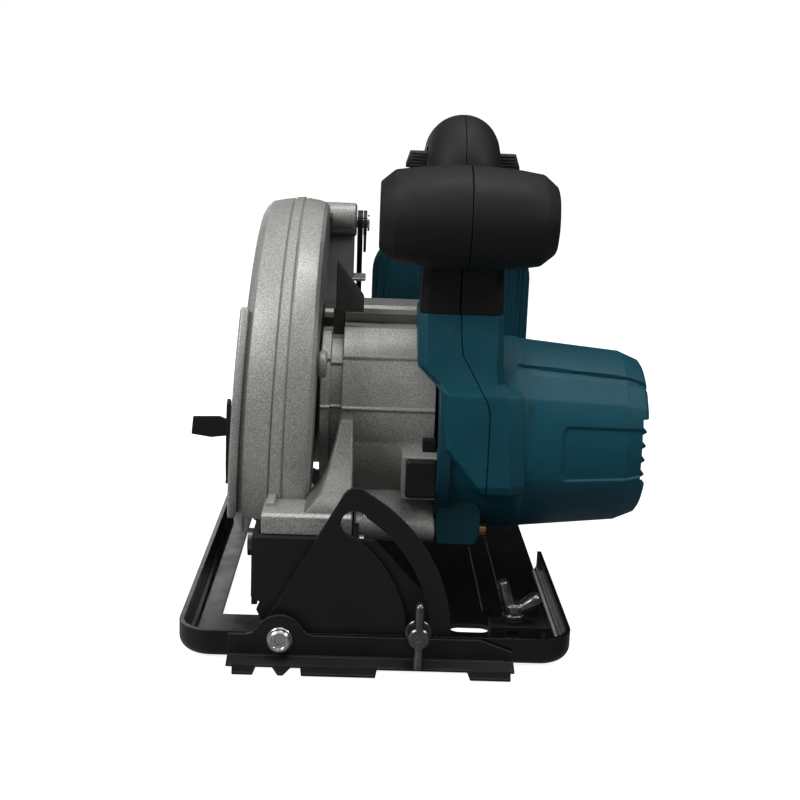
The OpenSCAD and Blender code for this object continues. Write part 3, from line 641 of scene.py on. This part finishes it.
def halves(obj, name, line, slot, body, nodes, bevel, gap, backs, angle):
    """Splits a shell along a line in x and z, leaving a fine seam."""
    other = obj.copy()
    other.data = obj.data.copy()
    bpy.context.scene.collection.objects.link(other)
    for shell, side, label in ((obj, -1, "left"), (other, 1, "right")):
        edge = [(x + side * gap / 2, z) for x, z in line]
        edge += [(side * FAR_OUT, line[-1][1]), (side * FAR_OUT, line[0][1])]
        carve_prism(shell, edge, place_y, *backs, "INTERSECT")
        shell.name = name + "_" + label + "_shell"
        wanted = [node for node in nodes if label in node]
        finish_piece(shell, slot, body, wanted, bevel, 2, angle)


def column_ring(z, left, right, near, cut_x, cut_b, far=100, cut=3.5):
    """Level outline with its two front corners cut off."""
    return [at(left, far, z), at(left, near + cut, z), at(left + cut, near, z),
            at(right - cut_x, near, z), at(right, near + cut_b, z), at(right, far, z)]


def make_column():
    """Front housing, from the grip's neck down in front of the motor, in two halves."""
    bm = bmesh.new()
    levels = [(154.6, 16.8, 57.4, 61.4, 3.5, 4), (153, 16.4, 57.8, 60.6, 3.5, 4),
              (129, 16.6, 58.5, 56, 4, 4.5), (121.6, 24.6, 59.4, 53, 4.6, 4.5),
              (117.6, 28, 67.6, 47.2, 7.4, 4.6), (115.4, 28.8, 68.8, 46.6, 8, 4.4),
              (91, 29, 69.6, 45, 8, 4.4), (73, 43.6, 70.6, 44.5, 7.4, 5),
              (69, 46.5, 69.5, 46, 7, 6), (66, 49.5, 67.5, 50, 5.6, 7)]
    loft(bm, [column_ring(*level) for level in levels])
    shell = solid("column", bm)
    halves(shell, "front_column", SEAM, "teal", "head",
           ["front_housing_left", "front_housing_right"], 1.1, 0.36, (10, 130), 22)


def smooth_step(value, low, high):
    """0 below low, 1 above high, and a smooth rise between."""
    share = min(max((value - low) / (high - low), 0), 1)
    return share * share * (3 - 2 * share)


def facet(deg, start, end):
    """Share of the radius that a flat between two angles leaves at an angle."""
    middle, half = (start + end) / 2, (end - start) / 2
    return math.cos(math.radians(half)) / math.cos(math.radians(deg - middle))


def motor_relief(deg, x):
    """How far the motor shell's surface is sunk: a groove along it and a panel."""
    along = min(max((x - 66) / 65, 0), 1)
    low, high = 124 + 2 * along, 127.5 + 3.9 * along
    inside = smooth_step(deg, low - 0.7, low + 0.5) * (1 - smooth_step(deg, high - 0.5, high + 0.7))
    sunk = 1.8 * inside * smooth_step(x, 65, 68)
    panel = smooth_step(deg, 162.4, 163.8) * (1 - smooth_step(deg, 196.2, 197.6))
    corner = 4.0 * max(0, abs(deg - 180) - 13) / 4.5
    panel *= smooth_step(x, 88.4 + corner * 0.5, 89.8 + corner * 0.5)
    return sunk + 1.25 * panel


def motor_surface(deg, x, r):
    """The motor shell's radius: round, with two flats on its front, less the relief."""
    shape = r
    flat = smooth_step(x, 66, 72)
    if FLAT_START < deg < FLAT_EDGE:
        shape = r * (1 + flat * (facet(deg, FLAT_START, FLAT_EDGE) - 1))
    elif FLAT_EDGE <= deg < FLAT_END:
        shape = r * (1 + 0.3 * flat * (facet(deg, FLAT_EDGE, FLAT_END) - 1))
    return shape - motor_relief(deg, x)


def profile_radius(x):
    """Radius of the motor's profile at x."""
    for (x0, r0), (x1, r1) in zip(MOTOR_PROFILE, MOTOR_PROFILE[1:]):
        if x <= x1:
            return r0 + (r1 - r0) * (x - x0) / (x1 - x0)
    return MOTOR_PROFILE[-1][1]


def motor_shell(name, xs, wall):
    """One turned shell between the first and last x, hollow behind the wall."""
    bm = bmesh.new()
    degs = [0.75 * i for i in range(480)]
    rings = []
    for x in xs:
        base = profile_radius(x)
        rings.append([at(x, *polar(MOTOR, motor_surface(deg, x, base), deg)) for deg in degs])
    inner = [profile_radius(x) - wall for x in (xs[-1], xs[0])]
    rings.append([at(xs[-1], *polar(MOTOR, inner[0], deg)) for deg in degs])
    rings.append([at(xs[0], *polar(MOTOR, inner[1], deg)) for deg in degs])
    loft(bm, rings, closed=True)
    return solid(name, bm)


def make_motor():
    """Motor housing and end cap, with a notch in the cap's front for the louvres."""
    shell = motor_shell("motor_shell", [28, 40, 52, 62, *range(63, 121), 121.5], 3.6)
    finish_piece(shell, "teal", "head", ["motor_housing"], 0, 2, 34)
    cap_xs = [121.56, 123, 125, 127, 128.6, 130, 131.2, 131.8, 132.2, 132.5, 132.7, 132.8]
    cap = motor_shell("motor_cap_shell", cap_xs, 3.4)
    carve_block(cap, *CAP_NOTCH)
    finish_piece(cap, "teal", "head", ["motor_end_cap"], 0, 2, 34)


def make_cap_face():
    """The end cap's flat face with two columns of vents, and the louvres behind its notch."""
    face = bmesh.new()
    prism(face, circle(MOTOR, 33.6, 120), place_x, 129.4, 132.9)
    grille = solid("motor_cap_face", face)
    cuts = bmesh.new()
    for i in range(-4, 5):
        z = MOTOR[1] + 5.6 * i
        for near, far in ((-31, -8), (6, 29)):
            backs = (MOTOR[0] + near, MOTOR[0] + far)
            prism(cuts, rounded(backs, (z - 1.3, z + 1.3), 1.2), place_x, 128, 134)
    carve(grille, solid("vents", cuts))
    carve_block(grille, *CAP_NOTCH)
    finish_piece(grille, "teal", "head", (), 0.4)
    louvres = bmesh.new()
    prism(louvres, circle(MOTOR, 36.6, 120), place_x, 124.8, 129.1)
    for i in range(4):
        z = MOTOR[1] - 13.4 + 7.2 * i
        prism(louvres, [(128, z), (131.2, z + 2), (131.2, z + 3), (128, z + 4.6)], place_y, 61, 79)
    piece("motor_cap_louvres", louvres, "teal_dark", "head", (), 0.3)


def make_motor_mounts():
    """Flange where the motor meets the gear housing, and the foot with the long screw's boss."""
    flange = bmesh.new()
    rod(flange, place_x, MOTOR, 51.7, 27.4, 34.5, 0.6, 140)
    ring = solid("motor_flange", flange)
    carve_prism(ring, circle(MOTOR, 47, 120), place_x, 20, 40)
    finish_piece(ring, "teal_dark", "head", (), 0.4)
    foot = bmesh.new()
    slab = [(28.8, 108), (33, 100), (33, 82), (50.5, 58), (50.5, 46), (48, 39.6), (30, 39.6),
            (28.8, 45)]
    prism(foot, slab, place_y, 56, 70)
    rod(foot, place_x, (63, 46), 6.4, 28.8, 50, 1)
    # The foot is in the darker copy of the teal look: painted shade.
    piece("motor_foot", foot, "teal_painted_shade", "head", (), 0.9)


# ---- grip, handle and rear ----

GRIP_SHORTER = 0.9
HANDLE_HALF = 18.6


def grip_radius(deg, r):
    """Faintly eight-sided barrel."""
    return r * (1 + 0.006 * math.cos(math.radians(8 * deg - 40)))


def make_grip():
    """The front grip's barrel in two halves, and the neck that joins it to the front housing."""
    profile = [(-41.9, 0.5), (-41.9, 15), (-41.5, 16), (-35.6, 20.9), (-34.6, 21.4), (-24, 22.9),
               (-10, 24.1), (-0.15, 24.5)]
    for side, label in ((1, "left"), (-1, "right")):
        bm = bmesh.new()
        rings = []
        for x, r in profile:
            if side == -1 and x < -30:
                x += GRIP_SHORTER
            points = [polar(GRIP, grip_radius(3 * i, r), 3 * i) for i in range(120)]
            rings.append([at(MID_X + 0.5 + side * x, *point) for point in points])
        loft(bm, rings)
        piece("grip_barrel_" + label, bm, "soft_black", "head", ["front_grip_" + label], 0.5, 2, 24)
    bm = bmesh.new()
    levels = [(154.3, 16.8, 57.4, 61.4), (156, 16.7, 57.4, 60.8), (168, 17.4, 57.1, 60.8),
              (183, 18.6, 56.6, 61.4), (190, 19, 56, 63)]
    loft(bm, [column_ring(*level, 3.5, 4, far=84, cut=3) for level in levels])
    halves(solid("neck", bm), "grip_neck", [(36.2, 195), (36.2, 145)], "soft_black", "head", [],
           0.8, 0.3, (10, 130), 22)


def handle_stations():
    """Outer and inner points of the D-handle in back and z, from its foot over to the rear."""
    outer = [(81, 152), (79, 185), (78.4, 206)]
    outer += [polar((112, 215), 34, deg) for deg in (160, 140, 120, 105, 93)]
    outer += [polar((112, 99), 150, deg) for deg in (84, 76, 68, 60, 52, 45)] + [(226.4, 196.6)]
    inner = [(101, 152), (100.2, 185), (102, 194), (104.5, 198.6), (109, 202.6), (114, 204.4),
             (119, 205), (125, 204.4), (137, 200), (149, 195.4), (161, 190.6), (174, 186),
             (190, 183.6), (206, 183), (222, 183)]
    return list(zip(outer, inner))


def handle_ring(outer, inner, inset):
    """One cross section: a domed outer side and two rounded inner corners."""
    half = HANDLE_HALF - inset
    run = Vector((inner[0] - outer[0], inner[1] - outer[1]))
    deep = run.length - 2 * inset
    run.normalize()
    start = Vector(outer) + run * inset
    dome, heel = min(19, 0.62 * deep), min(8, 0.28 * deep)
    ring = []
    for i in range(25):
        turn = math.pi * i / 24
        ring.append((MID_X - half * math.cos(turn), dome * (1 - math.sin(turn))))
    for mid, start_deg in ((half - heel, 0), (-(half - heel), 90)):
        for i in range(7):
            turn = math.radians(start_deg + 15 * i)
            ring.append((MID_X + mid + heel * math.cos(turn), deep - heel + heel * math.sin(turn)))
    return [at(x, *(start + run * depth)) for x, depth in ring]


def handle_solid(name, inset=0.0):
    bm = bmesh.new()
    loft(bm, [handle_ring(outer, inner, inset) for outer, inner in handle_stations()])
    return solid(name, bm)


def band_solid(name):
    """Everything outside the line where the rubber overmould meets the teal shell."""
    far, near = [], []
    for outer, inner in handle_stations()[1:]:
        run = Vector((inner[0] - outer[0], inner[1] - outer[1]))
        deep = run.length
        run.normalize()
        far.append(tuple(Vector(outer) - 14 * run))
        near.append(tuple(Vector(outer) + min(24, 0.56 * deep) * run))
    near[0] = (104, 191.6)
    far[0] = (60, 191.6)
    far[-1] = (246, 200)
    bm = bmesh.new()
    prism(bm, far + near[::-1], place_x, -20, 90)
    return solid(name, bm)


def carve_control_slots(obj):
    """Openings for the lock-off lever and for the trigger."""
    carve_block(obj, (0, 90), (102.6, 118.4), (218.6, 232.6))
    carve_block(obj, (MID_X - 9, MID_X + 9), (103, 142), (180, 218.7))


def make_handle():
    """The rubber overmould, split down its middle by a fine seam, over the two teal halves."""
    cover = handle_solid("handle_cover")
    carve(cover, band_solid("band"), "INTERSECT")
    carve_control_slots(cover)
    carve_block(cover, (MID_X - 0.2, MID_X + 0.2), (60, 240), (150, 260))
    carve_block(cover, (-20, MID_X - 17.95), (60, 140), (190, 262))
    finish_piece(cover, "soft_black", "head", ["handle_overmould"], 0.45, 2, 32)
    shell = handle_solid("handle_shell", 0.35)
    carve_control_slots(shell)
    halves(shell, "handle", [(37, 262), (37, 140)], "teal", "head",
           ["handle_left", "handle_right"], 0.45, 0.3, (20, 260), 32)


def make_trigger():
    bm = bmesh.new()
    face = [(108, 210), (107.2, 206), (108.2, 202), (111, 198.6), (114.5, 197), (119, 196.4),
            (125, 196.6), (132.6, 197.4), (132.6, 199.2), (121.4, 199.4), (121.4, 210)]
    prism(bm, face, place_x, MID_X - 6.9, MID_X + 6.9)
    piece("trigger_lever", bm, "black_plastic", "trigger", ["trigger"], 1.2, 3)


def make_lock_off():
    """A bar through the handle with a ribbed wing on each side."""
    bm = bmesh.new()
    block(bm, (MID_X - 20, MID_X + 20), (106, 115), (223.4, 230))
    for side in (-1, 1):
        rings = []
        for x, low, top in ((17, 221.8, 230.3), (26.6, 221.8, 230.3), (28.7, 222, 224)):
            outline = rounded((105.2, 115.8), (low, top), 0.8)
            rings.append([at(MID_X + side * x, u, v) for u, v in outline])
        loft(bm, rings)
        for i in range(5):
            z = 222.8 + 1.5 * i
            block(bm, sorted((MID_X + side * 18, MID_X + side * 26.4)), (104.95, 106), (z, z + 0.6))
    piece("lock_off_wings", bm, "black_plastic", "lock_off", ["lock_off_lever"], 0.3)


def make_rear():
    """Rear shell that carries the battery: rounded sides with ribs, in two halves."""
    bm = bmesh.new()
    prism(bm, rounded((MID_X - 43.8, MID_X + 43.8), (60, 183), 22, 10), place_y, 160, 238)
    shell = solid("rear_shell", bm)
    bay = [(178, 40), (178, 176.4), (182.4, 180.8), (250, 180.8), (250, 40)]
    carve_prism(shell, bay, place_x, -20, 100)
    carve_block(shell, (-30, 120), (150, 250), (40, 120))
    carve_prism(shell, [(150, 172), (168, 190), (150, 190)], place_x, -30, 120)
    corners = bmesh.new()
    for mid, start, outside in ((58.4, 0, 95), (15.6, 90, -25)):
        ends = [(mid, 250), (outside, 250), (outside, 228)]
        round_off = arc((mid, 228), 10, start, start + 90, 8)
        prism(corners, round_off + (ends if start == 0 else ends[::-1]), place_z, 170, 190)
    carve(shell, solid("corners", corners))
    halves(shell, "rear", [(37, 190), (37, 100)], "teal_dark", "head",
           ["rear_housing_left", "rear_housing_right"], 0.9, 0.3, (150, 260), 24)
    ribs = bmesh.new()
    for x in (-3.6, 0.6, 15.4, 19.2, 70.4, 75.4, 77.8):
        prism(ribs, arc((x, 160.3), 0.9, 180, 360, 8), place_z, 124, 171)
    piece("rear_ribs", ribs, "teal_dark", "head", (), 0.2)


def make_battery():
    """Battery case with a waist line, ribs on its sides and a recess for the release button."""
    bm = bmesh.new()
    rings = []
    for z, inset in ((122, 2.4), (123.2, 0.8), (125, 0), (146, 0), (147, 0.9), (149, 0.9), (150, 0),
                     (169, 0), (171, 1), (172, 2.6)):
        outline = rounded((-0.5 + inset, 74.5 - inset), (180.6 + inset, 262 - inset), 6, 6)
        rings.append([at(u, v, z) for u, v in outline])
    loft(bm, rings)
    pack = solid("battery_shell", bm)
    cut = bmesh.new()
    block(cut, (22.6, 51.4), (252.8, 264), (149.6, 166.4))
    for i in range(4):
        for xs in ((-2, 0.5), (73.5, 76)):
            block(cut, xs, (196 + 12 * i, 202 + 12 * i), (130, 143))
    carve(pack, solid("recess", cut))
    finish_piece(pack, "battery_black", "battery", ["battery_case"], 0.6)


def make_battery_button():
    bm = bmesh.new()
    rings = []
    for b, inset in ((256.4, 0), (259.6, 0), (260.6, 1)):
        outline = rounded((23.4 + inset, 50.6 - inset), (150.4 + inset, 165.6 - inset), 3)
        rings.append([at(u, b, v) for u, v in outline])
    loft(bm, rings)
    for i in range(3):
        block(bm, (29, 45), (260.2, 260.8), (154 + 3.4 * i, 155.4 + 3.4 * i))
    piece("battery_key", bm, "latch_red", "battery_latch", ["battery_button"], 0.3)


# ---- hardware ----


def wing_loft(bm, root, out, through, sections):
    """A forged wing: rounded sections (distance, half width, half thickness) in one direction."""
    side = out.cross(through).normalized()
    rings = []
    for far, wide, thick in sections:
        ring = []
        for i in range(20):
            turn = 2 * math.pi * i / 20
            c, s = math.cos(turn), math.sin(turn)
            u = math.copysign(abs(c) ** 0.7, c) * wide * MM
            v = math.copysign(abs(s) ** 0.8, s) * thick * MM
            ring.append(root + out * (far * MM) + side * u + through * v)
        rings.append(ring)
    loft(bm, rings)


def make_bevel_bolt():
    """Washer, hub and stem, with one wing up and one down."""
    bm = bmesh.new()
    x, _, z = centre("bevel_wing_bolt")
    rod(bm, place_y, (x, z), 6.1, -4.8, -2.6, 0.5)
    rod(bm, place_y, (x, z), 5.1, -13, -4.6, 0.9)
    rod(bm, place_y, (x, z), 2.8, -5, 11.6, 0.4)
    sections = [(1, 2.5, 4), (4, 2.4, 3.9), (8, 2.3, 3.8), (12, 2.3, 3.6), (14.6, 2.1, 3),
                (15.8, 1.5, 2), (16.1, 0.8, 1)]
    for way in (-1, 1):
        wing_loft(bm, at(x, -9.2, z), Vector((0, 0, way)), Vector((0, 1, 0)), sections)
    piece("bevel_wing_screw", bm, "gunmetal", "bevel_bolt", ["bevel_wing_bolt"], 0.25, 2, 40)


def make_fence_bolt():
    """Washer, hub and stem, with two wings turned up from the hub at unequal angles."""
    bm = bmesh.new()
    x, b = 65, 18
    rod(bm, place_z, (x, b), 2.5, 9, 20, 0.3)
    rod(bm, place_z, (x, b), 5.2, 17.6, 19.7, 0.4)
    rod(bm, place_z, (x, b), 4.8, 19.4, 25, 1.2)
    left = [(0, 3.4, 3.2), (4, 3.6, 2.9), (8, 4, 2.7), (12, 4, 2.6), (14.2, 3.2, 2.2),
            (15, 1.8, 1.2)]
    right = [(0, 3.4, 3), (4, 4, 3), (7, 4.6, 3.1), (10, 4.4, 3), (12, 3.2, 2.4), (12.8, 1.8, 1.2)]
    for root, out, through, sections in (
            (at(x - 2.2, b, 21.6), (-0.26, 0, 0.97), (1, 0, 0.26), left),
            (at(x + 2, b, 20.8), (0.78, 0, 0.62), (-0.62, 0, 0.78), right)):
        wing_loft(bm, root, Vector(out).normalized(), Vector(through).normalized(), sections)
    piece("fence_wing_screw", bm, "gunmetal", "fence_bolt", ["fence_wing_bolt"], 0.25, 2, 40)


def make_pivot_screw():
    """Bevel pivot: washer, socket head, stem and the nut behind."""
    bm = bmesh.new()
    x, _, z = BEVEL
    rod(bm, place_y, (x, z), 5.9, -3.4, -2.3, 0.4)
    rod(bm, place_y, (x, z), 5.4, -6.5, -3.2, 0.9)
    rod(bm, place_y, (x, z), 3, -3.6, 12.6, 0.3)
    prism(bm, circle((x, z), 5.4, 6), place_y, 8.8, 12.4)
    screw = solid("hinge_screw", bm)
    cut = bmesh.new()
    rod(cut, place_y, (x, z), 3.6, -8, -5.2, 0.3)
    carve(screw, solid("recess", cut))
    carve_prism(screw, circle((x, z), 2.3, 6), place_y, -8, -4)
    finish_piece(screw, "bright_steel", "base", ["bevel_pivot_screw"], 0.15)


def make_front_guide():
    """Folded front rail: an ear round the pivot screw, an upright band, and tabs under it."""
    x, _, z = BEVEL
    bm = bmesh.new()
    ear = arc((x, z), 11.6, 152, 28, 16)
    outline = [(-67.6, 4), (-67.6, 13.6), (x - 16, 13.6), (x - 12.6, 14.4)] + ear
    outline += [(x + 12.6, 14.4), (x + 16, 13.6), (48, 13.6), (63.6, 8), (63.6, 4)]
    prism(bm, outline, place_y, -2.2, -0.4)
    fold = [(-0.4, 4.1), (-2.3, 4.1), (-2.3, 3.4), (-9, 1.7), (-9, 0.5), (-0.4, 2.2)]
    prism(bm, fold, place_x, -67.8, 63.8)
    for lo, hi, tip in ((-65, -54, 0.8), (-47, -38, 3.2), (-34, 1, 0.8), (42, 62, 0.8)):
        prism(bm, [(lo, -8), (lo + tip, -17), (hi - tip, -17), (hi, -8)], place_z, 0.3, 1.7)
    piece("front_rail", bm, "bracket_black", "base", ["front_guide"], 0.5, 3)


def make_guard_lever():
    """Plate on the lower guard, arm, upright and the thumb piece that shows beside the case."""
    bm = bmesh.new()
    prism(bm, rounded((61, 75.6), (47, 70.6), 3), place_x, -62, -60.1)
    block(bm, (-76.4, -60.2), (62.4, 73.6), (65.7, 67.5))
    upright = [(64, 65.7), (62.4, 76), (62.8, 96), (65, 106), (68, 107.8), (71, 106), (73.4, 92),
               (73.6, 65.7)]
    prism(bm, upright, place_x, -76.4, -74.5)
    thumb = [(-93.8, 89.6), (-93, 98.6), (-80, 99), (-74.8, 97), (-74.8, 89.4), (-84, 88.2)]
    prism(bm, thumb, place_y, 66.2, 68.2)
    piece("guard_thumb_lever", bm, "bracket_black", "lower_guard", ["guard_lever"], 0.5, 3)


def make_lock_button():
    """Shaft lock: a pad with a drawn-in face, and its stem."""
    bm = bmesh.new()
    rings = []
    for b, inset in ((54.8, 0), (51.4, 0), (50.4, 0.9)):
        outline = rounded((12.6 + inset, 27.8 - inset), (64.7 + inset, 83.5 - inset), 1.4)
        rings.append([at(u, b, v) for u, v in outline])
    loft(bm, rings)
    rod(bm, place_y, (20.5, MOTOR[1] - 13.5), 2.55, 54.7, 79.2, 0.3)
    piece("shaft_lock_pad", bm, "soft_black", "shaft_lock", ["shaft_lock_button"], 0.3)


def dress_cad_nodes():
    """The CAD nodes that still show, in the looks of their slots."""
    for part in frame["record"]["subparts"]:
        obj = frame["nodes"][part["node"]]
        obj.data.materials.clear()
        obj.data.materials.append(LOOKS[part["material_slot"]])


def soften_cad_nodes():
    """Soft edges on the pressed-steel nodes that are shown as they come."""
    for name in ("bevel_quadrant", "depth_guide", "rear_quadrant", "rear_bracket",
                 "depth_lock_lever", "base_plate"):
        soften(frame["nodes"][name], 0.5, 2, 40)
    for name in ("front_bracket", "fence_clamp"):
        soften(frame["nodes"][name], 0.6, 2, 40)


make_camera()
make_world()
make_stage()
area_light("key", (-1.2, -0.9, 1.35), LIT_MIDDLE, 0.7, 15)
area_light("side", (1.4, -0.6, 1.2), LIT_MIDDLE, 0.5, 7)
area_light("top", (0.25, -0.2, 1.8), LIT_MIDDLE, 0.8, 9)
area_light("back", (-0.33, 0.85, 0.28), LIT_DECK, 0.36, 0.4)
dress_cad_nodes()
make_blade_case()
make_case_details()
make_stop_boss()
make_leg()
make_foot()
make_gear_housing()
make_lock_boss()
make_column()
make_motor()
make_cap_face()
make_motor_mounts()
make_grip()
make_handle()
make_trigger()
make_lock_off()
make_rear()
make_battery()
make_battery_button()
make_bevel_bolt()
make_fence_bolt()
make_pivot_screw()
make_front_guide()
make_guard_lever()
make_lock_button()
soften_cad_nodes()
bpy.context.scene.view_settings.view_transform = "Standard"
